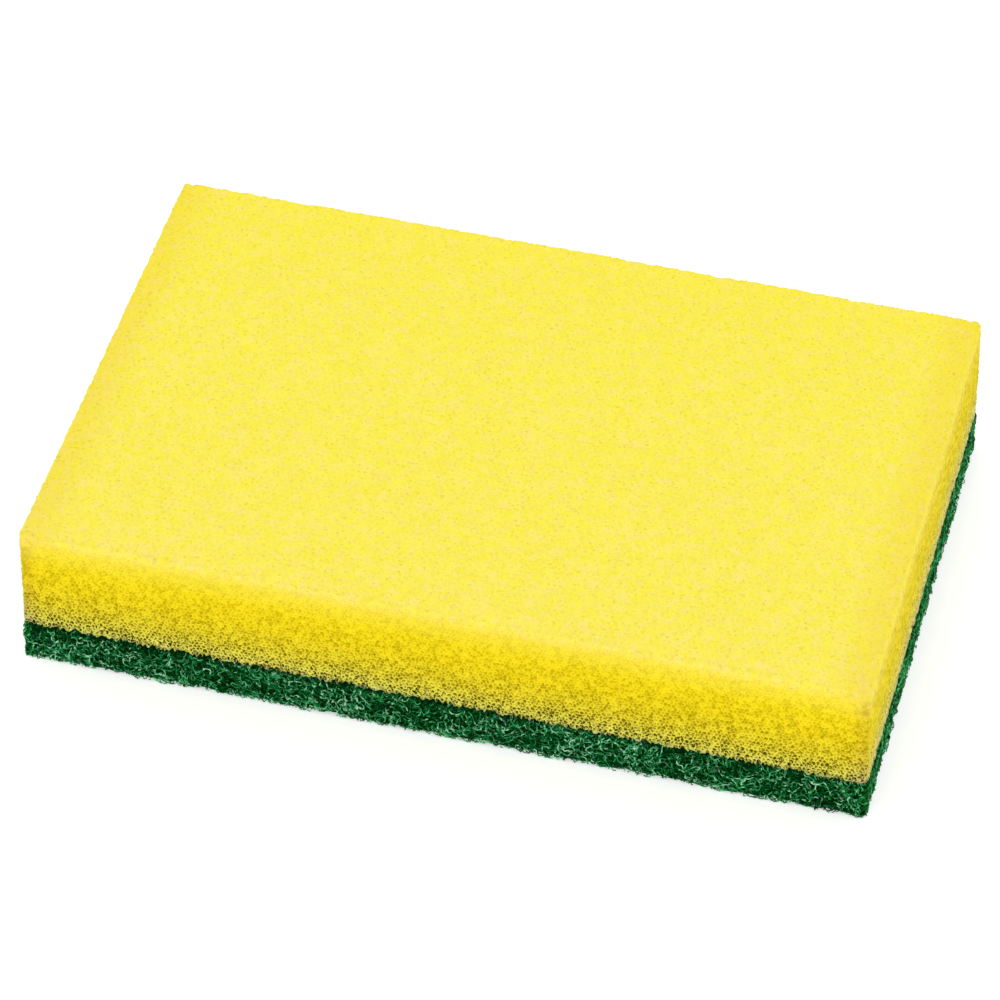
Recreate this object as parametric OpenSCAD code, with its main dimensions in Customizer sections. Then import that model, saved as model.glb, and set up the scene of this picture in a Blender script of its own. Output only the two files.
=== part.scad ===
// A cleaning sponge: a block of soft open-cell foam bonded on top of a fibre scouring pad.
// Both layers were cut through together, so they share one outline.
// The origin is the middle of the pad's underside, with X along the length and Z up.

/* [Outline] */
// Length of the sponge, measured on the scouring pad
sponge_length = 140; // [80:1:200]
// Width of the sponge, measured on the scouring pad
sponge_width = 90; // [50:1:140]
// Radius of the four upright corners, measured on the scouring pad
corner_radius = 0.9; // [0.7:0.1:8]

/* [Foam block] */
// Thickness of the foam
foam_thickness = 20; // [8:0.5:50]
// Distance that the foam's sides stand back from the pad's sides
foam_setback = 0.3; // [0:0.05:0.6]
// Radius of the foam's top edges
foam_edge_radius = 0.6; // [0.3:0.1:6]

/* [Scouring pad] */
// Thickness of the scouring pad
pad_thickness = 8; // [2:0.5:20]

/* [Hidden] */

// The foam follows the pad's outline at the setback all round, and sits on the pad's top face.
foam_length = sponge_length - 2 * foam_setback;
foam_width = sponge_width - 2 * foam_setback;
foam_corner_radius = corner_radius - foam_setback;
foam_seat_z = pad_thickness;

// How far a cutting profile runs past the block that it trims
cut_margin = 1;
// Number of segments in a full circle
$fn = 64;

// A rectangle centred on the origin with four rounded corners
module rounded_rectangle(length, width, radius) {
    square([length - 2 * radius, width], center = true);
    square([length, width - 2 * radius], center = true);
    for (side_x = [-1, 1], side_y = [-1, 1])
        translate([side_x * (length / 2 - radius), side_y * (width / 2 - radius)])
            circle(r = radius);
}

// An upright section standing on the X axis, square below and with two rounded corners on top
module rounded_top_section(width, height, radius) {
    translate([-width / 2, 0])
        square([width, height - radius]);
    translate([radius - width / 2, 0])
        square([width - 2 * radius, height]);
    for (side = [-1, 1])
        translate([side * (width / 2 - radius), height - radius])
            circle(r = radius);
}

// A bar along the Y axis with the rounded section, longer than the block that it trims
module rounded_top_bar(width, height, radius, length) {
    rotate([90, 0, 0])
        linear_extrude(length + 2 * cut_margin, center = true)
            rounded_top_section(width, height, radius);
}

// The foam: one block with soft upright corners, whose four top edges are rounded by two bars
module foam_block() {
    color("gold")
        translate([0, 0, foam_seat_z])
            intersection() {
                linear_extrude(foam_thickness)
                    rounded_rectangle(foam_length, foam_width, foam_corner_radius);
                rounded_top_bar(foam_length, foam_thickness, foam_edge_radius, foam_width);
                rotate([0, 0, 90])
                    rounded_top_bar(foam_width, foam_thickness, foam_edge_radius, foam_length);
            }
}

// The scouring pad: one flat sheet of matted fibre, cut square to its faces
module scouring_pad() {
    color("darkgreen")
        linear_extrude(pad_thickness)
            rounded_rectangle(sponge_length, sponge_width, corner_radius);
}

foam_block();
scouring_pad();
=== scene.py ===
import math

import bmesh
import bpy
import numpy as np
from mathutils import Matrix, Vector
from mathutils.geometry import delaunay_2d_cdt


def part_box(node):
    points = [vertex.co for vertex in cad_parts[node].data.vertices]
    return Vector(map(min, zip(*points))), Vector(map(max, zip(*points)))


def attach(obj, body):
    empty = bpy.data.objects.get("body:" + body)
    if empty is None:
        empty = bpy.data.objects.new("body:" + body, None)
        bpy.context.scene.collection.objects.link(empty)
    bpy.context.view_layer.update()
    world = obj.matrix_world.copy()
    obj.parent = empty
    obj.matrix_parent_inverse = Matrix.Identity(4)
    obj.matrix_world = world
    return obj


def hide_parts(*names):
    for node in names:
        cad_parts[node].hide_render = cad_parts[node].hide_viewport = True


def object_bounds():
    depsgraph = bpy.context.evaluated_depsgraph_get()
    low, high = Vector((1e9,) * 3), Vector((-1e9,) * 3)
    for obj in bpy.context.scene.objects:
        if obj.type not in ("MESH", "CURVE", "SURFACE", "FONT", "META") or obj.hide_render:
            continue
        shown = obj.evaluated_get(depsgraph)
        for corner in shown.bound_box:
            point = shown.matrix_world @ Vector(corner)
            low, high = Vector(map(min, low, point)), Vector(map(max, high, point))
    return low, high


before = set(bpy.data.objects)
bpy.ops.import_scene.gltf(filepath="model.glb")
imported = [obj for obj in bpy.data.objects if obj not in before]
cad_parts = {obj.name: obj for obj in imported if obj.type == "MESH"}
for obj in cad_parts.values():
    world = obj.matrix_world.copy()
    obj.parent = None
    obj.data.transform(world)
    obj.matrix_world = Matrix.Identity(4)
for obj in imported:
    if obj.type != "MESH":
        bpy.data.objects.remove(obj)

cad_box = [list(corner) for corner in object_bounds()]
MM = 0.001

# ---------------------------------------------------------------------------------------------------
# The matted heart of the scouring pad. The real pad is a thick felt of crimped nylon fibres, sprayed
# with green resin that locks them where they cross. This is the tangle deep inside, which shows only
# between the outer fibres; its near-black colour is painted shade, for the dark depths of the felt.

pad_low, pad_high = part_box("scouring_pad")


def live_socket(sockets, key):
    """The socket in use with that name, or at that place among the ones in use."""
    in_use = [socket for socket in sockets if socket.enabled]
    return in_use[key] if isinstance(key, int) else next(s for s in in_use if s.name == key)


def add_node(tree, kind, *inputs, take=0, **settings):
    """Adds a node, fills its inputs in order, passing over each None, and gives the output asked for."""
    made = tree.nodes.new(kind)
    for name, value in settings.items():
        setattr(made, name, value)
    for place, value in enumerate(inputs):
        if value is None:
            continue
        socket = live_socket(made.inputs, place)
        if isinstance(value, bpy.types.NodeSocket):
            tree.links.new(value, socket)
        else:
            socket.default_value = value
    return live_socket(made.outputs, take)


def add_math(tree, operation, *values):
    """A Math node on those values."""
    return add_node(tree, "ShaderNodeMath", *values, operation=operation)


def add_vector_math(tree, operation, *values):
    """A Vector Math node on those values."""
    return add_node(tree, "ShaderNodeVectorMath", *values, operation=operation)


def add_axis(tree, place, axis):
    """One of the three numbers of a place or a direction."""
    return add_node(tree, "ShaderNodeSeparateXYZ", place, take=axis)


def add_range(tree, value, from_low, from_high, to_low, to_high, soft=False):
    """The value carried from one range to another, and held at its ends."""
    kind = "SMOOTHSTEP" if soft else "LINEAR"
    return add_node(tree, "ShaderNodeMapRange", value, from_low, from_high, to_low, to_high,
                    interpolation_type=kind)


def add_cloud(tree, place, size, detail=2.0):
    """Smooth noise from 0 to 1, with lumps of about that size in metres."""
    frequency = add_math(tree, "DIVIDE", 1.0, size)
    return add_node(tree, "ShaderNodeTexNoise", place, frequency, detail, 0.5)


def start_tree(name, numbers, whole_numbers=()):
    """A Geometry Nodes tree that takes a shape, a material and named numbers, and gives a shape."""
    tree = bpy.data.node_groups.new(name, "GeometryNodeTree")
    face = tree.interface
    face.new_socket("Geometry", in_out="INPUT", socket_type="NodeSocketGeometry")
    face.new_socket("Material", in_out="INPUT", socket_type="NodeSocketMaterial")
    for label in numbers:
        face.new_socket(label, in_out="INPUT", socket_type="NodeSocketFloat")
    for label in whole_numbers:
        face.new_socket(label, in_out="INPUT", socket_type="NodeSocketInt")
    face.new_socket("Geometry", in_out="OUTPUT", socket_type="NodeSocketGeometry")
    group_in = tree.nodes.new("NodeGroupInput")
    return tree, {socket.name: socket for socket in group_in.outputs if socket.name}


def end_tree(tree, geometry, material):
    """Ends the tree with plain geometry in one material."""
    plain = add_node(tree, "GeometryNodeRealizeInstances", geometry)
    done = add_node(tree, "GeometryNodeSetMaterial", plain, None, material)
    group_out = tree.nodes.new("NodeGroupOutput")
    tree.links.new(done, group_out.inputs[0])


def grow(name, form, tree, values):
    """Runs the tree on a form with those input values, and gives the result as a plain mesh object."""
    maker = form.modifiers.new(tree.name, "NODES")
    maker.node_group = tree
    for item in tree.interface.items_tree:
        if item.in_out == "INPUT" and item.name in values:
            maker[item.identifier] = values[item.name]
    evaluated = form.evaluated_get(bpy.context.evaluated_depsgraph_get())
    mesh = bpy.data.meshes.new_from_object(evaluated)
    mesh.name = name
    form.modifiers.remove(maker)
    bpy.data.objects.remove(form)
    piece = bpy.data.objects.new(name, mesh)
    bpy.context.scene.collection.objects.link(piece)
    return piece


def block_form(name, low, high, side_pitch, face_pitch, corner, edge, open_end):
    """A fine uneven net of triangles over a block, open at its top or bottom, other edges rounded."""
    corner_steps, seam_gap = 6, 0.001 * MM
    draw = np.random.default_rng(len(name))
    half = (np.array(high) - np.array(low)) / 2
    tall = 2 * half[2]
    ways, spots, turns = [0.0], [], []
    for quarter, (side_x, side_y) in enumerate([(1, 1), (-1, 1), (-1, -1), (1, -1)]):
        for step in range(corner_steps + 1):
            turn = math.pi / 2 * (quarter + step / corner_steps)
            reach = np.array([math.cos(turn), math.sin(turn)])
            spots.append(np.array([side_x, side_y]) * (half[:2] - corner) + corner * reach)
            turns.append(turn)
    spots.append(spots[0])
    turns.append(math.tau)
    for first, second in zip(spots, spots[1:]):
        ways.append(ways[-1] + np.linalg.norm(second - first))
    spots = np.array(spots)

    def on_block(way, rise):
        """The place on the side that far round the outline and that far up, over the rounded edge."""
        over = np.clip((rise - (tall - edge)) / edge, 0, math.pi / 2)
        turn = np.interp(way, ways, turns)
        inset = edge * (1 - np.cos(over))
        x = np.interp(way, ways, spots[:, 0]) - inset * np.cos(turn)
        y = np.interp(way, ways, spots[:, 1]) - inset * np.sin(turn)
        return np.column_stack([x, y, np.minimum(rise, tall - edge) + edge * np.sin(over)])

    def net(points, rim):
        """Triangles between flat points, inside the closed rim that the first of them make."""
        inside_only, same_place = 1, 1e-9
        rim_lines = [(i, (i + 1) % rim) for i in range(rim)]
        found = delaunay_2d_cdt([Vector(point) for point in points], rim_lines, [], inside_only, same_place)
        faces, first_names = found[2:4]
        return [[first_names[corner_here][0] for corner_here in face] for face in faces]

    def uneven_grid(length, width, pitch):
        """Scattered points over a rectangle from the origin, about one pitch apart, clear of its rim."""
        jitter, stagger, clear = 0.38, 0.25, 0.4 * pitch
        columns, rows = round(length / pitch), round(width / pitch)
        i, j = np.meshgrid(np.arange(columns), np.arange(rows), indexing="ij")
        spread = draw.uniform(-jitter, jitter, (2, columns, rows))
        along = (i + 0.5 + stagger * (-1.0) ** j + spread[0]) / columns * length
        up = (j + 0.5 + spread[1]) / rows * width
        kept = (along > clear) & (along < length - clear) & (up > clear) & (up < width - clear)
        return np.column_stack([along[kept], up[kept]])

    round_way, up_way = ways[-1], tall - edge + edge * math.pi / 2
    columns, rows = round(round_way / side_pitch), round(up_way / side_pitch)
    across = np.arange(columns + 1) / columns * round_way
    upward = np.arange(1, rows) / rows * up_way
    rim = np.vstack([
        np.column_stack([across, np.zeros(columns + 1)]),
        np.column_stack([np.full(rows - 1, round_way), upward]),
        np.column_stack([across[::-1], np.full(columns + 1, up_way)]),
        np.column_stack([np.zeros(rows - 1), upward[::-1]]),
    ])
    side = np.vstack([rim, uneven_grid(round_way, up_way, side_pitch)])
    faces = net(side, len(rim))
    points = on_block(side[:, 0], side[:, 1])
    top_ring = np.arange(columns + rows, 2 * columns + rows)[::-1] + 1
    start_of_top = len(points)
    inner = uneven_grid(2 * half[0] - 2 * edge, 2 * half[1] - 2 * edge, face_pitch) - half[:2] + edge
    ring = points[top_ring][:, :2]
    faces += [[top_ring[k] if k < len(ring) else start_of_top + k - len(ring) for k in face]
              for face in net(np.vstack([ring, inner]), len(ring))]
    points = np.vstack([points, np.column_stack([inner, np.full(len(inner), tall)])])
    points += np.array([*(np.array(low) + half)[:2], low[2]])
    if open_end == "top":
        points[:, 2] = low[2] + high[2] - points[:, 2]
        faces = [face[::-1] for face in faces]
    mesh = bpy.data.meshes.new(name)
    mesh.from_pydata(points.tolist(), [], [list(map(int, face)) for face in faces])
    seam = bmesh.new()
    seam.from_mesh(mesh)
    bmesh.ops.remove_doubles(seam, verts=seam.verts, dist=seam_gap)
    seam.to_mesh(mesh)
    seam.free()
    form = bpy.data.objects.new(name, mesh)
    bpy.context.scene.collection.objects.link(form)
    return form


def close_rim(piece, level):
    """Turns the open end in over a narrow ledge, and closes it with a flat lid at that level."""
    ledge_scale = 0.984
    shell = bmesh.new()
    shell.from_mesh(piece.data)
    pit_layer = shell.verts.layers.float.get("pit")
    rim = [edge for edge in shell.edges if edge.is_boundary]
    for part in bmesh.ops.extrude_edge_only(shell, edges=rim)["geom"]:
        if isinstance(part, bmesh.types.BMVert):
            part.co = (part.co.x * ledge_scale, part.co.y * ledge_scale, level)
            if pit_layer:
                part[pit_layer] = 1.0
    rim = [edge for edge in shell.edges if edge.is_boundary]
    lid = bmesh.ops.contextual_create(shell, geom=rim)["faces"]
    bmesh.ops.triangulate(shell, faces=lid)
    bmesh.ops.recalc_face_normals(shell, faces=shell.faces)
    shell.to_mesh(piece.data)
    shell.free()


def map_block(piece, low, high, lid_up, gap=1.0 * MM):
    """A flat map of a block: its broad face, its four sides round that, and its hidden lid made small."""
    mesh = piece.data
    low, high = np.array(low), np.array(high)
    size = high - low
    lid_panel, lid_slope, lid_reach = 5, -0.9, 0.1 * size[2]
    corners = np.empty(len(mesh.vertices) * 3)
    mesh.vertices.foreach_get("co", corners)
    corners = corners.reshape(-1, 3) - low
    normals = np.empty(len(mesh.polygons) * 3)
    mesh.polygons.foreach_get("normal", normals)
    facing = normals.reshape(-1, 3)[:, 2]
    if lid_up:
        corners[:, 2] = size[2] - corners[:, 2]
        facing = -facing
    loops = np.empty(len(mesh.loops), int)
    mesh.loops.foreach_get("vertex_index", loops)
    starts = np.empty(len(mesh.polygons), int)
    mesh.polygons.foreach_get("loop_start", starts)
    totals = np.empty(len(mesh.polygons), int)
    mesh.polygons.foreach_get("loop_total", totals)
    centres = np.add.reduceat(corners[loops], starts, axis=0) / totals[:, None]
    on_lid = (facing < lid_slope) & (centres[:, 2] < lid_reach)
    depths = np.column_stack([size[2] - centres[:, 2], centres[:, 1], size[1] - centres[:, 1],
                              centres[:, 0], size[0] - centres[:, 0]])
    panel = np.repeat(np.where(on_lid, lid_panel, depths.argmin(axis=1)), totals)
    x, y, z = corners[loops].T
    front_row, back_row = size[1] + gap, size[1] + size[2] + 2 * gap
    left_row, end_column = size[1] + 2 * size[2] + 3 * gap, size[0] + gap
    lid_row = left_row + size[2] + gap
    across = np.choose(panel, [x, x, x, y, end_column + z, x])
    small_y = lid_row + y / size[1] * gap
    upward = np.choose(panel, [y, front_row + z, back_row + z, left_row + z, y, small_y])
    whole = max(end_column + size[2], lid_row + gap) + 2 * gap
    places = np.column_stack([across + gap, upward + gap]) / whole
    layer = mesh.uv_layers.new(name="OFBake")
    layer.data.foreach_set("uv", places.ravel())


web_tree, given = start_tree("matted web", [
    "Lump size", "Lump height", "Tuft size", "Tuft height", "Bond line", "Groove width", "Groove",
])
spot = add_node(web_tree, "GeometryNodeInputPosition")
outward = add_node(web_tree, "GeometryNodeInputNormal")
lump = add_math(web_tree, "SUBTRACT", add_cloud(web_tree, spot, given["Lump size"]), 0.5)
tuft = add_math(web_tree, "SUBTRACT", add_cloud(web_tree, spot, given["Tuft size"]), 0.5)
relief = add_math(web_tree, "MULTIPLY", lump, given["Lump height"])
relief = add_math(web_tree, "MULTIPLY_ADD", tuft, given["Tuft height"], relief)

# The underside is pressed flatter than the cut edge.
flatness = add_range(web_tree, add_axis(web_tree, outward, "Z"), -0.9, 0.0, 0.4, 1.0)
relief = add_math(web_tree, "MULTIPLY", relief, flatness)


def add_groove(tree, height, given):
    """How far the pad draws in beneath the foam, where the two are bonded: 0 or less."""
    groove_foot = add_math(tree, "SUBTRACT", given["Bond line"], given["Groove width"])
    full = add_math(tree, "MULTIPLY", given["Groove"], -1.0)
    return add_range(tree, height, groove_foot, given["Bond line"], 0.0, full, soft=True)


relief = add_math(web_tree, "ADD", relief, add_groove(web_tree, add_axis(web_tree, spot, "Z"), given))
matted = add_node(web_tree, "GeometryNodeSetPosition", given["Geometry"], None, None,
                  add_vector_math(web_tree, "SCALE", outward, relief))
matted = add_node(web_tree, "GeometryNodeTriangulate", matted)
matted = add_node(web_tree, "GeometryNodeSetShadeSmooth", matted, None, True)
end_tree(web_tree, matted, given["Material"])


def start_material(name, roughness, shine):
    """A material's node tree and shader, with its roughness and the strength of its shine set."""
    material = bpy.data.materials.new(name)
    material.use_nodes = True
    shader = material.node_tree.nodes["Principled BSDF"]
    shader.inputs["Roughness"].default_value = roughness
    shader.inputs["Specular IOR Level"].default_value = shine
    return material, material.node_tree, shader


def add_ramp(tree, factor, stops):
    """Colours blended along the factor, from places and linear colours."""
    made = tree.nodes.new("ShaderNodeValToRGB")
    marks = made.color_ramp.elements
    while len(marks) < len(stops):
        marks.new(1.0)
    for mark, (place, colour) in zip(marks, stops):
        mark.position = place
        mark.color = (*colour, 1)
    tree.links.new(factor, made.inputs["Fac"])
    return made.outputs["Color"]


def add_bump(tree, shader, height, depth, strength):
    """Fine relief of that depth on the shader."""
    relief = add_node(tree, "ShaderNodeBump", strength, depth, None, height)
    tree.links.new(relief, shader.inputs["Normal"])


web_material, web_nodes, web_shader = start_material("dark matted fibre", roughness=0.8, shine=0.02)
web_place = add_node(web_nodes, "ShaderNodeTexCoord", take="Object")


def add_strands(tree, place, size, width):
    """Thin curling lines, 1 on a strand and 0 off it, where a cloud passes its middle value."""
    cloud = add_cloud(tree, place, size, 1.0)
    away = add_math(tree, "ABSOLUTE", add_math(tree, "SUBTRACT", cloud, 0.5))
    return add_range(tree, away, 0.0, width, 1.0, 0.0, soft=True)


coarse_strands = add_strands(web_nodes, web_place, 1.5 * MM, 0.035)
fine_strands = add_strands(web_nodes, web_place, 0.8 * MM, 0.05)
web_strands = add_math(web_nodes, "MAXIMUM", coarse_strands, fine_strands)
# Painted shade: the web is painted near black, a little lighter along its strands, for the shade deep in
# the pad.
web_shade_colour = add_ramp(web_nodes, web_strands, [
    (0.0, (0.0002, 0.014, 0.0008)), (1.0, (0.003, 0.11, 0.017)),
])
web_nodes.links.new(web_shade_colour, web_shader.inputs["Base Color"])
add_bump(web_nodes, web_shader, web_strands, 0.15 * MM, 0.8)

web_low = pad_low + Vector((0.05, 0.3, 0.3)) * MM
web_high = pad_high - Vector((0.05, 0.3, 0.02)) * MM
web_form = block_form("web form", web_low, web_high, side_pitch=0.6 * MM, face_pitch=0.65 * MM,
                      corner=0.6 * MM, edge=0.3 * MM, open_end="top")
LUMP_SIZE, LUMP_HEIGHT = 2.2 * MM, 1.05 * MM
web = grow("pad_web", web_form, web_tree, {
    "Material": web_material, "Lump size": LUMP_SIZE, "Lump height": LUMP_HEIGHT,
    "Tuft size": 0.9 * MM, "Tuft height": 1.3 * MM,
    "Bond line": pad_high.z, "Groove width": 1.3 * MM, "Groove": 0.55 * MM,
})
close_rim(web, web_high.z)
map_block(web, web_low, web_high, lid_up=True)
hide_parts("scouring_pad")
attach(web, "root")

# ---------------------------------------------------------------------------------------------------
# The outer fibres of the pad. Each is a crimped nylon strand that wanders round the cut edge or over
# the underside, dives in and out of the web, and turns back where the knife stopped it.


def add_wander(tree, place):
    """Smooth noise from about -1 to 1 on three channels."""
    drawn = add_node(tree, "ShaderNodeTexNoise", place, 1.0, 1.0, 0.5, take="Color")
    centred = add_vector_math(tree, "SUBTRACT", drawn, (0.5, 0.5, 0.5))
    stretched = add_vector_math(tree, "SCALE", centred, 4.0)
    split = add_node(tree, "ShaderNodeSeparateXYZ", stretched).node
    return [live_socket(split.outputs, axis) for axis in "XYZ"]


def fibre_tree(name, round_the_edge):
    """A tree that lays curled fibres on the pad: round its cut edge, or over its underside."""
    tree, given = start_tree(
        name,
        ["Length", "Width", "Height", "Step", "Curl", "Crimp", "Thickness", "Sink", "Rise",
         "Weave", "Clump size", "Clump height", "Bond line", "Groove width", "Groove"],
        ["Seed", "Fibres", "Points per fibre"],
    )

    def drawn(low, high, seed):
        """A random number of its own for each fibre."""
        own_seed = add_math(tree, "ADD", given["Seed"], seed)
        return add_node(tree, "FunctionNodeRandomValue", low, high, None, own_seed, data_type="FLOAT")

    def kept(geometry, label, value):
        """The geometry, with the value kept on its points under that label."""
        return add_node(tree, "GeometryNodeStoreNamedAttribute", geometry, None, label, value,
                        data_type="FLOAT", domain="POINT")

    def read(label):
        """A value that was kept under that label."""
        return add_node(tree, "GeometryNodeInputNamedAttribute", label, data_type="FLOAT")

    outline_length = add_node(tree, "GeometryNodeCurveLength", given["Geometry"])
    roots = add_node(tree, "GeometryNodePoints", given["Fibres"])
    reach_a, reach_b = given["Length"], given["Width"]
    if round_the_edge:
        reach_a, reach_b = outline_length, given["Height"]
    roots = kept(roots, "start a", drawn(0.0, reach_a, 1))
    roots = kept(roots, "start b", drawn(0.0, reach_b, 2))
    roots = kept(roots, "heading", drawn(0.0, math.tau, 3))
    roots = kept(roots, "turn", add_math(tree, "MULTIPLY", drawn(-1.0, 1.0, 4), given["Curl"]))
    roots = kept(roots, "shade", drawn(0.0, 1.0, 5))
    roots = kept(roots, "level", drawn(0.0, 1.0, 6))
    strand = add_node(tree, "GeometryNodeCurvePrimitiveLine", (0, 0, 0), (0, 0, 1))
    strand = add_node(tree, "GeometryNodeResampleCurve", strand, None, given["Points per fibre"])
    strands = add_node(tree, "GeometryNodeInstanceOnPoints", roots, None, strand)
    strands = add_node(tree, "GeometryNodeRealizeInstances", strands)

    crimp_pace, noise_apart = 0.55, 1000.0
    fibre = add_node(tree, "GeometryNodeCurveOfPoint", take="Curve Index")
    place = add_node(tree, "GeometryNodeCurveOfPoint", take="Index in Curve")
    along = add_node(tree, "ShaderNodeCombineXYZ", add_math(tree, "MULTIPLY", place, crimp_pace),
                     add_math(tree, "MULTIPLY", read("shade"), noise_apart), read("level"))
    swing, dive, _ = add_wander(tree, along)
    angle = add_math(tree, "MULTIPLY_ADD", read("turn"), place, read("heading"))
    angle = add_math(tree, "MULTIPLY_ADD", swing, given["Crimp"], angle)
    stride = add_node(tree, "ShaderNodeCombineXYZ", add_math(tree, "COSINE", angle),
                      add_math(tree, "SINE", angle))
    stride = add_vector_math(tree, "SCALE", stride, given["Step"])
    walked = add_node(tree, "GeometryNodeAccumulateField", stride, fibre, take="Trailing",
                      data_type="FLOAT_VECTOR")
    walked = add_node(tree, "ShaderNodeSeparateXYZ", walked).node
    way_a = add_math(tree, "ADD", read("start a"), live_socket(walked.outputs, "X"))
    way_b = add_math(tree, "ADD", read("start b"), live_socket(walked.outputs, "Y"))

    if round_the_edge:
        loop_way = add_math(tree, "FLOORED_MODULO", way_a, outline_length)
        ground = add_node(tree, "GeometryNodeSampleCurve", given["Geometry"], None, loop_way,
                          take="Position", mode="LENGTH")
        tangent = live_socket(ground.node.outputs, "Tangent")
        outward = add_vector_math(tree, "CROSS_PRODUCT", tangent, (0, 0, 1))
        height = add_math(tree, "PINGPONG", way_b, given["Height"])
        lift = add_node(tree, "ShaderNodeCombineXYZ", 0.0, 0.0, height)
        ground = add_vector_math(tree, "ADD", ground, lift)
    else:
        half_length = add_math(tree, "MULTIPLY", given["Length"], 0.5)
        half_width = add_math(tree, "MULTIPLY", given["Width"], 0.5)
        x = add_math(tree, "SUBTRACT", add_math(tree, "PINGPONG", way_a, given["Length"]), half_length)
        y = add_math(tree, "SUBTRACT", add_math(tree, "PINGPONG", way_b, given["Width"]), half_width)
        outward = (0, 0, -1)
        ground = add_node(tree, "ShaderNodeCombineXYZ", x, y)
    clump = add_math(tree, "SUBTRACT", add_cloud(tree, ground, given["Clump size"]), 0.5)
    level = add_range(tree, read("level"), 0.0, 1.0, given["Sink"], given["Rise"])
    out_by = add_math(tree, "MULTIPLY_ADD", dive, given["Weave"], level)
    out_by = add_math(tree, "MINIMUM", out_by, given["Rise"])
    out_by = add_math(tree, "MULTIPLY_ADD", clump, given["Clump height"], out_by)
    if round_the_edge:
        out_by = add_math(tree, "ADD", out_by, add_groove(tree, height, given))
    laid_at = add_vector_math(tree, "ADD", ground, add_vector_math(tree, "SCALE", outward, out_by))
    laid = add_node(tree, "GeometryNodeSetPosition", strands, None, laid_at)
    laid = kept(laid, "outness", add_range(tree, out_by, given["Sink"], given["Rise"], 0.0, 1.0))
    girth = add_math(tree, "MULTIPLY", given["Thickness"], drawn(0.35, 0.65, 8))
    section_sides, side_apart, map_low, map_high = 3, 0.01, 0.02, 0.98
    section = add_node(tree, "GeometryNodeCurvePrimitiveCircle", section_sides, 1.0)
    tubes = add_node(tree, "GeometryNodeCurveToMesh", laid, section, girth, True)
    side = add_math(tree, "MODULO", add_node(tree, "GeometryNodeInputIndex"), section_sides)
    across = add_math(tree, "MULTIPLY_ADD", side, side_apart, read("shade"))
    furthest = 1.0 + (section_sides - 1) * side_apart
    flat_place = add_node(tree, "ShaderNodeCombineXYZ",
                          add_range(tree, across, 0.0, furthest, map_low, map_high),
                          add_range(tree, read("outness"), 0.0, 1.0, map_low, map_high))
    tubes = add_node(tree, "GeometryNodeStoreNamedAttribute", tubes, None, "OFBake", flat_place,
                     data_type="FLOAT2", domain="CORNER")
    smooth = add_node(tree, "GeometryNodeSetShadeSmooth", tubes, None, True)
    end_tree(tree, smooth, given["Material"])
    return tree


def outline_curve(low, high, corner, inset):
    """The pad's outline as a closed line, run anticlockwise at the pad's underside."""
    arc_steps = 4
    points = []
    middles = [(high[0] - inset - corner, high[1] - inset - corner),
               (low[0] + inset + corner, high[1] - inset - corner),
               (low[0] + inset + corner, low[1] + inset + corner),
               (high[0] - inset - corner, low[1] + inset + corner)]
    for quarter, (middle_x, middle_y) in enumerate(middles):
        for step in range(arc_steps + 1):
            angle = math.pi / 2 * (quarter + step / arc_steps)
            reach_x, reach_y = corner * math.cos(angle), corner * math.sin(angle)
            points.append((middle_x + reach_x, middle_y + reach_y, low[2]))
    curve = bpy.data.curves.new("outline", "CURVE")
    curve.dimensions = "3D"
    line = curve.splines.new("POLY")
    line.points.add(len(points) - 1)
    for point, place in zip(line.points, points):
        point.co = (*place, 1)
    line.use_cyclic_u = True
    form = bpy.data.objects.new("outline", curve)
    bpy.context.scene.collection.objects.link(form)
    return form


UNTINTED = (1, 1, 1, 1)


def add_mix(tree, factor, first, second):
    """The first colour passing into the second as the factor goes from 0 to 1."""
    return add_node(tree, "ShaderNodeMix", factor, first, second, data_type="RGBA")


fibre_material, fibre_nodes, fibre_shader = start_material("green fibre", roughness=0.42, shine=0.05)
fibre_place = add_node(fibre_nodes, "ShaderNodeTexCoord", take="Object")
fibre_shade = add_node(fibre_nodes, "ShaderNodeAttribute", take="Fac", attribute_name="shade")
# Each fibre has a tone of its own, broken into flecks along its length; the palest end of the ramp is
# painted highlight, for pale glints on the strands.
FLECK_AND_GLINT_SIZE, FLECK_AND_GLINT_STRENGTH = 0.7 * MM, 2.4
fleck_and_glint = add_math(fibre_nodes, "SUBTRACT", add_cloud(fibre_nodes, fibre_place, FLECK_AND_GLINT_SIZE), 0.5)
fibre_shade = add_range(fibre_nodes, fibre_shade, 0.0, 1.0, 0.14, 0.92)
fibre_shade = add_math(fibre_nodes, "MULTIPLY_ADD", fleck_and_glint, FLECK_AND_GLINT_STRENGTH, fibre_shade)
fibre_outness = add_node(fibre_nodes, "ShaderNodeAttribute", take="Fac", attribute_name="outness")
resin_and_glint_colour = add_ramp(fibre_nodes, fibre_shade, [
    (0.0, (0.0004, 0.030, 0.0018)), (0.30, (0.003, 0.15, 0.027)), (0.60, (0.024, 0.35, 0.09)),
    (0.85, (0.11, 0.54, 0.23)), (1.0, (0.45, 0.83, 0.54)),
])
# Painted shade: fibres are painted darker the deeper they dive into the web.
buried_shade = add_range(fibre_nodes, fibre_outness, 0.05, 0.8, 0.12, 1.0)
fibre_colour = add_vector_math(fibre_nodes, "SCALE", resin_and_glint_colour, buried_shade)

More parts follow.
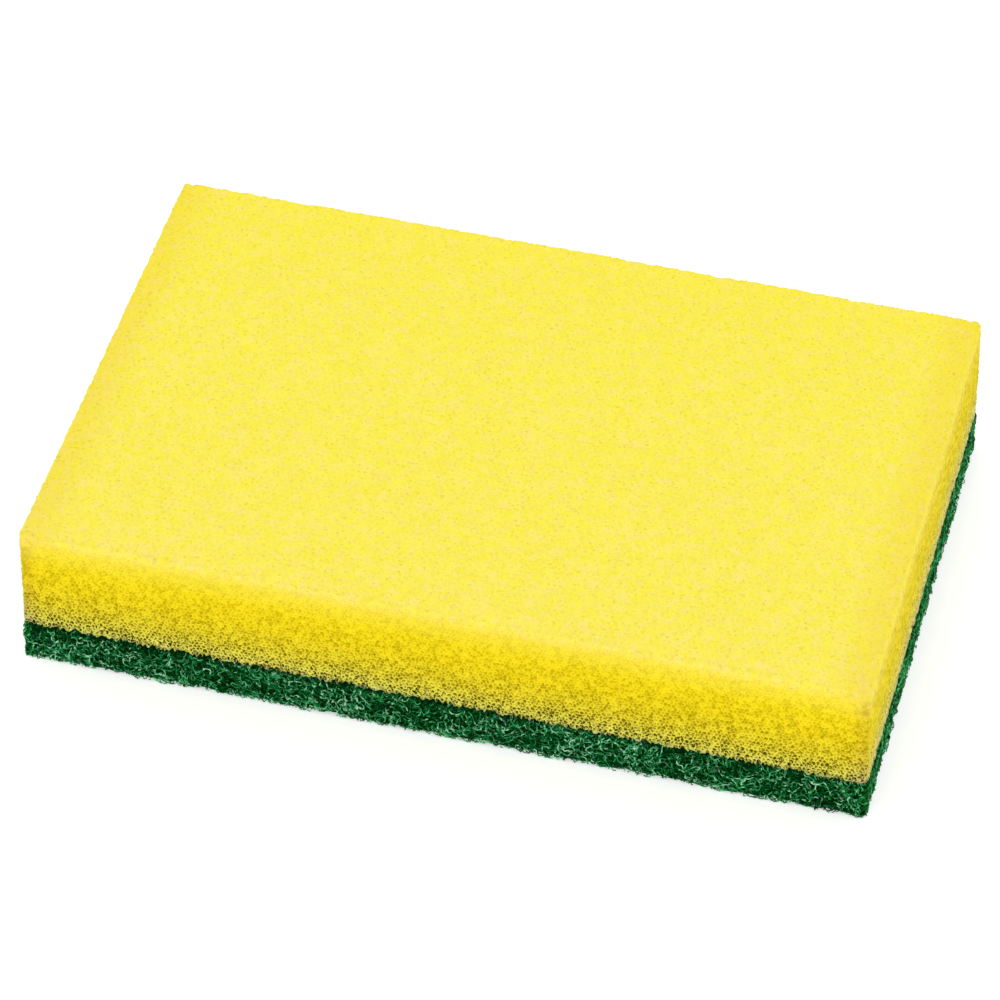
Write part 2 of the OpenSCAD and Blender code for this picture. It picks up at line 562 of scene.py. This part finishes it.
# Painted shade: the fibres along the two short ends are painted darker and greener, against the pale sheen
# they catch at a slant.
fibre_across = add_math(fibre_nodes, "ABSOLUTE", add_axis(fibre_nodes, fibre_place, "X"))
DARK_FROM, DARK_TO = pad_high.x - 2 * MM, pad_high.x - 0.5 * MM
fibre_near_end = add_range(fibre_nodes, fibre_across, DARK_FROM, DARK_TO, 0.0, 1.0, soft=True)
fibre_end_shade = add_mix(fibre_nodes, fibre_near_end, UNTINTED, (0.25, 0.74, 0.42, 1))
fibre_colour = add_vector_math(fibre_nodes, "MULTIPLY", fibre_colour, fibre_end_shade)
fibre_nodes.links.new(fibre_colour, fibre_shader.inputs["Base Color"])
add_bump(fibre_nodes, fibre_shader, add_cloud(fibre_nodes, fibre_place, 0.15 * MM), 0.03 * MM, 0.5)

pad_size = pad_high - pad_low
OUTLINE_INSET = 0.1 * MM
END_SPREAD = Vector((0.25, 0, 0)) * MM
STRAND_LIFT = Vector((0, 0, 0.11)) * MM
wound_height = pad_size.z - STRAND_LIFT.z
fibre_sizes = {
    "Material": fibre_material,
    "Length": pad_size.x - 2 * OUTLINE_INSET, "Width": pad_size.y - 2 * OUTLINE_INSET,
    "Height": wound_height, "Curl": 0.4, "Crimp": 1.8,
    "Sink": -0.7 * MM, "Rise": 0.2 * MM, "Weave": 0.45 * MM,
    "Bond line": wound_height, "Groove width": 1.3 * MM, "Groove": 0.65 * MM,
    "Clump size": LUMP_SIZE, "Clump height": LUMP_HEIGHT, "Fibres": 2700, "Points per fibre": 13,
}
edge_tree = fibre_tree("edge fibres", round_the_edge=True)
under_tree = fibre_tree("underside fibres", round_the_edge=False)
for name, tree, own_sizes in [
    ("pad_edge_fibres_a", edge_tree, {"Seed": 1, "Step": 0.42 * MM, "Thickness": 0.19 * MM}),
    ("pad_edge_fibres_b", edge_tree, {"Seed": 20, "Step": 0.46 * MM, "Thickness": 0.21 * MM}),
    ("pad_underside_fibres", under_tree, {"Seed": 40, "Step": 0.8 * MM, "Thickness": 0.3 * MM,
                                          "Sink": -0.7 * MM, "Rise": -0.25 * MM, "Clump height": 0.4 * MM}),
]:
    outline = outline_curve(pad_low - END_SPREAD + STRAND_LIFT, pad_high + END_SPREAD,
                            corner=1.0 * MM, inset=OUTLINE_INSET)
    fibres = grow(name, outline, tree, {**fibre_sizes, **own_sizes})
    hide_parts("scouring_pad")
    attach(fibres, "root")

# ---------------------------------------------------------------------------------------------------
# The foam block. Open-cell polyurethane foam is blown as a bun, sawn into sheets and bonded to the pad,
# and the two are cut through together. The cut opens every cell, so the surface is a net of thin struts
# round small pits.

foam_low, foam_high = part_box("foam_block")

foam_tree, given = start_tree("sawn foam", [
    "Bottom", "Top", "Bottom pit depth", "Top pit depth", "Pit scatter",
    "Strut unevenness", "Swell size", "Swell", "Rim height", "Rim drop", "Foot spread",
])
normal = add_node(foam_tree, "GeometryNodeInputNormal")
position = add_node(foam_tree, "GeometryNodeInputPosition")


def add_slide(tree, normal, reach, seed):
    """A random move along the surface, of up to the reach on each axis."""
    drawn = add_node(tree, "FunctionNodeRandomValue", (-1, -1, -1), (1, 1, 1), None, seed,
                     data_type="FLOAT_VECTOR")
    lifted = add_vector_math(tree, "SCALE", normal, add_vector_math(tree, "DOT_PRODUCT", drawn, normal))
    return add_vector_math(tree, "SCALE", add_vector_math(tree, "SUBTRACT", drawn, lifted), reach)


def add_draw(tree, low, high, seed):
    """A random number of its own for each point or face."""
    return add_node(tree, "FunctionNodeRandomValue", low, high, None, seed, data_type="FLOAT")


OPENNESS_SEED, RAGGED_SEED, SLIDE_SEED, DROP_SEED = 7, 11, 13, 17
cells = add_node(foam_tree, "GeometryNodeDualMesh", given["Geometry"], True)
cells = add_node(foam_tree, "GeometryNodeStoreNamedAttribute", cells, None, "openness",
                 add_draw(foam_tree, 0.0, 1.0, OPENNESS_SEED), data_type="FLOAT", domain="FACE")
openness = add_node(foam_tree, "GeometryNodeInputNamedAttribute", "openness", data_type="FLOAT")
height = add_axis(foam_tree, position, "Z")
depth = add_range(foam_tree, height, given["Bottom"], given["Top"], given["Bottom pit depth"],
                  given["Top pit depth"])
depth = add_math(foam_tree, "MULTIPLY", depth, add_range(foam_tree, openness, 0.0, 1.0, -0.5, -1.4))
pits = add_node(foam_tree, "GeometryNodeExtrudeMesh", cells, None, None, depth, True)
pit_floor = live_socket(pits.node.outputs, "Top")
pits = add_node(foam_tree, "GeometryNodeScaleElements", pits, pit_floor, 0.0)
pits = add_node(foam_tree, "GeometryNodeStoreNamedAttribute", pits, pit_floor, "pit", 1.0,
                data_type="FLOAT", domain="POINT")
PIT_WELD = 0.004 * MM
pits = add_node(foam_tree, "GeometryNodeMergeByDistance", pits, None, PIT_WELD)
pit = add_node(foam_tree, "GeometryNodeInputNamedAttribute", "pit", data_type="FLOAT")
strut = add_math(foam_tree, "SUBTRACT", 1.0, pit)
ragged = add_math(foam_tree, "MULTIPLY", add_draw(foam_tree, -1.0, 0.6, RAGGED_SEED),
                  given["Strut unevenness"])
swell = add_math(foam_tree, "SUBTRACT", add_cloud(foam_tree, position, given["Swell size"]), 0.5)
swell = add_math(foam_tree, "MULTIPLY", swell, given["Swell"])
push = add_math(foam_tree, "MULTIPLY_ADD", ragged, strut, swell)
push = add_vector_math(foam_tree, "SCALE", normal, push)
scatter = add_math(foam_tree, "MULTIPLY", given["Pit scatter"], pit)
pit_slide = add_slide(foam_tree, normal, scatter, SLIDE_SEED)
above_foot = add_math(foam_tree, "SUBTRACT", height, given["Bottom"])
near_rim = add_range(foam_tree, above_foot, 0.0, given["Rim height"], 1.0, 0.0)
drop = add_math(foam_tree, "MULTIPLY", add_draw(foam_tree, -1.0, 1.0, DROP_SEED), given["Rim drop"])
drop = add_math(foam_tree, "MULTIPLY", drop, near_rim)
drop = add_node(foam_tree, "ShaderNodeCombineXYZ", 0.0, 0.0, drop)
spread = add_range(foam_tree, height, given["Bottom"], given["Top"], given["Foot spread"], 0.0)
spread = add_vector_math(foam_tree, "MULTIPLY", position,
                         add_node(foam_tree, "ShaderNodeCombineXYZ", spread, 0.0, 0.0))
move = add_vector_math(foam_tree, "ADD", add_vector_math(foam_tree, "ADD", push, pit_slide), drop)
move = add_vector_math(foam_tree, "ADD", move, spread)
cut = add_node(foam_tree, "GeometryNodeSetPosition", pits, None, None, move)
cut = add_node(foam_tree, "GeometryNodeSetShadeSmooth", cut, None, True)
end_tree(foam_tree, cut, given["Material"])

foam_material, foam_nodes, foam_shader = start_material("yellow foam", roughness=0.9, shine=0.02)
foam_shader.inputs["Subsurface Weight"].default_value = 0.3
foam_shader.inputs["Subsurface Radius"].default_value = (1.0, 0.7, 0.1)
foam_shader.inputs["Subsurface Scale"].default_value = 2.5 * MM
foam_place = add_node(foam_nodes, "ShaderNodeTexCoord", take="Object")
foam_rise = add_axis(foam_nodes, foam_place, "Z")
foam_height = add_range(foam_nodes, foam_rise, foam_low.z, foam_high.z, 0.0, 1.0)

# Light that comes down through the foam fills the upper pits, and leaves the lowest ones dark.
strut_colour = add_ramp(foam_nodes, foam_height, [
    (0.0, (0.90, 0.84, 0.14)), (0.05, (0.84, 0.76, 0.10)), (0.13, (0.86, 0.74, 0.06)),
    (0.25, (0.90, 0.73, 0.03)), (0.45, (0.93, 0.72, 0.013)), (0.68, (0.94, 0.735, 0.014)),
    (0.86, (0.93, 0.755, 0.045)), (0.94, (0.94, 0.785, 0.09)), (0.975, (0.965, 0.83, 0.115)),
])
pit_colour = add_ramp(foam_nodes, foam_height, [
    (0.0, (0.02, 0.022, 0.001)), (0.05, (0.07, 0.055, 0.001)), (0.13, (0.22, 0.165, 0.001)),
    (0.25, (0.49, 0.365, 0.001)), (0.45, (0.68, 0.505, 0.001)), (0.68, (0.79, 0.60, 0.003)),
    (0.86, (0.86, 0.68, 0.035)), (0.94, (0.90, 0.74, 0.08)), (0.975, (0.94, 0.80, 0.09)),
])
pit_place = add_node(foam_nodes, "ShaderNodeAttribute", take="Fac", attribute_name="pit")
cell_openness = add_node(foam_nodes, "ShaderNodeAttribute", take="Fac", attribute_name="openness")
FRAY_SIZE, TEAR_SIZE, PATCH_SIZE, SPECK_SIZE, GRAIN_SIZE = 0.3 * MM, 0.7 * MM, 1.5 * MM, 0.5 * MM, 1.2 * MM
fray = add_math(foam_nodes, "SUBTRACT", add_cloud(foam_nodes, foam_place, FRAY_SIZE), 0.5)
tear = add_math(foam_nodes, "SUBTRACT", add_cloud(foam_nodes, foam_place, TEAR_SIZE), 0.5)
torn_pit = add_math(foam_nodes, "MULTIPLY_ADD", fray, 2.2, pit_place)
torn_pit = add_math(foam_nodes, "MULTIPLY_ADD", tear, 0.6, torn_pit)
wider = add_range(foam_nodes, cell_openness, 0.0, 1.0, -0.22, 0.16)
torn_pit = add_math(foam_nodes, "ADD", torn_pit, wider)
in_pit = add_range(foam_nodes, torn_pit, 0.20, 0.50, 0.0, 1.0, soft=True)
# Painted shade: closed cells show more of their dark pit colour low on the sides, and less higher up, where
# more light comes through.
least_pit_shade = add_range(foam_nodes, foam_height, 0.0, 0.35, 0.9, 0.5)
open_pit = add_node(foam_nodes, "ShaderNodeMapRange", cell_openness, 0.0, 0.7, least_pit_shade, 1.0)
in_pit = add_math(foam_nodes, "MULTIPLY", in_pit, open_pit)

# Painted light and shade on the two short ends: their pits are painted a little paler and, below the top,
# the ends are painted duller and darker, as sides turned from the light.
foam_across = add_math(foam_nodes, "ABSOLUTE", add_axis(foam_nodes, foam_place, "X"))
END_SHADE_FROM, END_SHADE_TO = foam_high.x - 3.5 * MM, foam_high.x - 0.3 * MM
near_end = add_range(foam_nodes, foam_across, END_SHADE_FROM, END_SHADE_TO, 0.0, 1.0, soft=True)
in_pit = add_math(foam_nodes, "MULTIPLY", in_pit, add_range(foam_nodes, near_end, 0.0, 1.0, 1.0, 0.95))
net_colour = add_mix(foam_nodes, in_pit, strut_colour, pit_colour)

patch = add_cloud(foam_nodes, foam_place, PATCH_SIZE, 5.0)
tint = add_ramp(foam_nodes, patch, [
    (0.30, (1.01, 1.015, 0.62)), (0.5, (1.0, 1.0, 0.95)), (0.70, (1.03, 0.975, 1.7)),
])
speck = add_cloud(foam_nodes, foam_place, SPECK_SIZE, 1.0)
speck = add_range(foam_nodes, speck, 0.62, 0.70, 0.0, 0.8)
tint = add_mix(foam_nodes, speck, tint, (0.84, 0.84, 0.42, 1))

# Painted light: the top is painted palest along the front edge, where the light catches it most, and
# yellows a little towards the back.
foam_back = add_range(foam_nodes, add_axis(foam_nodes, foam_place, "Y"), foam_low.y, foam_high.y, 0.0, 1.0)
front_edge_glow = add_ramp(foam_nodes, foam_back, [
    (0.0, (1.0, 0.985, 1.18)), (0.07, (1.0, 0.995, 1.06)),
    (0.6, (1.0, 1.0, 1.0)), (1.0, (1.0, 0.995, 0.85)),
])
tint = add_vector_math(foam_nodes, "MULTIPLY", tint, front_edge_glow)
on_top = add_range(foam_nodes, foam_height, 0.85, 0.96, 0.0, 1.0)
tint = add_mix(foam_nodes, on_top, UNTINTED, tint)
# Painted shade: below the top, the short ends are painted duller and darker, in uneven patches.
foam_end_shade = add_math(foam_nodes, "MULTIPLY", near_end, add_math(foam_nodes, "SUBTRACT", 1.0, on_top))
foam_end_shade_mottle = add_cloud(foam_nodes, foam_place, GRAIN_SIZE, 3.0)
foam_end_shade_mottle = add_range(foam_nodes, foam_end_shade_mottle, 0.35, 0.65, 0.78, 1.12)
foam_end_shade_colour = add_vector_math(foam_nodes, "SCALE", (0.89, 0.855, 1.65), foam_end_shade_mottle)
foam_end_shade_tint = add_mix(foam_nodes, foam_end_shade, UNTINTED, foam_end_shade_colour)
tint = add_vector_math(foam_nodes, "MULTIPLY", tint, foam_end_shade_tint)
# Painted shade: the top is painted a deeper gold towards the two short ends, where its edges turn from the
# light.
TOP_END_SHADE_FROM, TOP_END_SHADE_TO = foam_high.x - 9 * MM, foam_high.x - 1 * MM
towards_end = add_range(foam_nodes, foam_across, TOP_END_SHADE_FROM, TOP_END_SHADE_TO, 0.0, 1.0, soft=True)
top_end_shade = add_math(foam_nodes, "MULTIPLY", towards_end, on_top)
top_end_shade_tint = add_mix(foam_nodes, top_end_shade, UNTINTED, (0.95, 0.92, 0.80, 1))
tint = add_vector_math(foam_nodes, "MULTIPLY", tint, top_end_shade_tint)
foam_colour = add_vector_math(foam_nodes, "MULTIPLY", net_colour, tint)

# The torn strut tips along the foot are pale and crisp where they hang in front of the groove.
TIPS_FROM, TIPS_TO = foam_low.z - 0.35 * MM, foam_low.z + 0.25 * MM
foot = add_range(foam_nodes, foam_rise, TIPS_FROM, TIPS_TO, 1.0, 0.0)
foot = add_math(foam_nodes, "MULTIPLY", foot, add_range(foam_nodes, fray, -0.15, 0.05, 1.0, 0.0))
foam_colour = add_mix(foam_nodes, foot, foam_colour, (0.94, 0.91, 0.36, 1))
foam_nodes.links.new(foam_colour, foam_shader.inputs["Base Color"])
add_bump(foam_nodes, foam_shader, fray, 0.1 * MM, 0.5)

foam_form = block_form("foam form", foam_low, foam_high, side_pitch=0.67 * MM, face_pitch=1.06 * MM,
                       corner=0.75 * MM, edge=0.65 * MM, open_end="bottom")
foam = grow("foam", foam_form, foam_tree, {
    "Material": foam_material, "Bottom": foam_low.z, "Top": foam_high.z,
    "Bottom pit depth": 0.6 * MM, "Top pit depth": 0.12 * MM, "Pit scatter": 0.12 * MM,
    "Strut unevenness": 0.13 * MM, "Swell size": 18 * MM, "Swell": 0.5 * MM,
    "Rim height": 0.7 * MM, "Rim drop": 0.6 * MM, "Foot spread": 0.006,
})
close_rim(foam, foam_low.z)
map_block(foam, foam_low, foam_high, lid_up=False)
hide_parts("foam_block")
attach(foam, "root")

# ---------------------------------------------------------------------------------------------------
# The studio: a plain pale floor, one broad soft light overhead and a little to the front, and a white
# surround that fills the shadows.

FLOOR_HALF, FLOOR_GLOW = 6.0, 0.48
floor_mesh = bpy.data.meshes.new("floor")
floor_corners = [(FLOOR_HALF * x, FLOOR_HALF * y, 0) for x, y in [(-1, -1), (1, -1), (1, 1), (-1, 1)]]
floor_mesh.from_pydata(floor_corners, [], [(0, 1, 2, 3)])
floor = bpy.data.objects.new("floor", floor_mesh)
bpy.context.scene.collection.objects.link(floor)
floor_material, floor_nodes, floor_shader = start_material("pale floor", roughness=0.9, shine=0.2)
floor_shader.inputs["Base Color"].default_value = (0.75, 0.75, 0.75, 1)
floor_shader.inputs["Emission Color"].default_value = (1, 1, 1, 1)
floor_shader.inputs["Emission Strength"].default_value = FLOOR_GLOW
floor.data.materials.append(floor_material)

surround = bpy.data.worlds.new("surround")
surround.use_nodes = True
background = surround.node_tree.nodes["Background"]
background.inputs["Color"].default_value = (1, 1, 1, 1)
background.inputs["Strength"].default_value = 1.0
bpy.context.scene.world = surround

LAMP_SIZE, LAMP_POWER, LAMP_PLACE = 0.7, 0.6, (0.05, -0.30, 1.05)
lamp = bpy.data.lights.new("soft box", "AREA")
lamp.size = LAMP_SIZE
lamp.energy = LAMP_POWER
soft_box = bpy.data.objects.new("soft box", lamp)
soft_box.location = LAMP_PLACE
soft_box.rotation_euler = soft_box.location.to_track_quat("Z", "Y").to_euler()
bpy.context.scene.collection.objects.link(soft_box)

# ---------------------------------------------------------------------------------------------------
# The camera: a long lens, looking down from above the front of the sponge and a little to its right.

AZIMUTH, ELEVATION = math.radians(14.862), math.radians(44.353)
DISTANCE = 857.3 * MM
AIM_RIGHT, AIM_UP = 1.63 * MM, 2.28 * MM
back = Vector((math.sin(AZIMUTH) * math.cos(ELEVATION), -math.cos(AZIMUTH) * math.cos(ELEVATION),
               math.sin(ELEVATION)))
right = Vector((math.cos(AZIMUTH), math.sin(AZIMUTH), 0))
upward = back.cross(right)
centre = (Vector(cad_box[0]) + Vector(cad_box[1])) / 2
FOCAL_LENGTH = 186.77
lens = bpy.data.cameras.new("camera")
lens.lens = FOCAL_LENGTH
camera = bpy.data.objects.new("camera", lens)
camera.location = centre - AIM_RIGHT * right - AIM_UP * upward + DISTANCE * back
camera.rotation_euler = back.to_track_quat("Z", "Y").to_euler()
bpy.context.scene.collection.objects.link(camera)
bpy.context.scene.camera = camera
bpy.context.scene.view_settings.view_transform = "Standard"
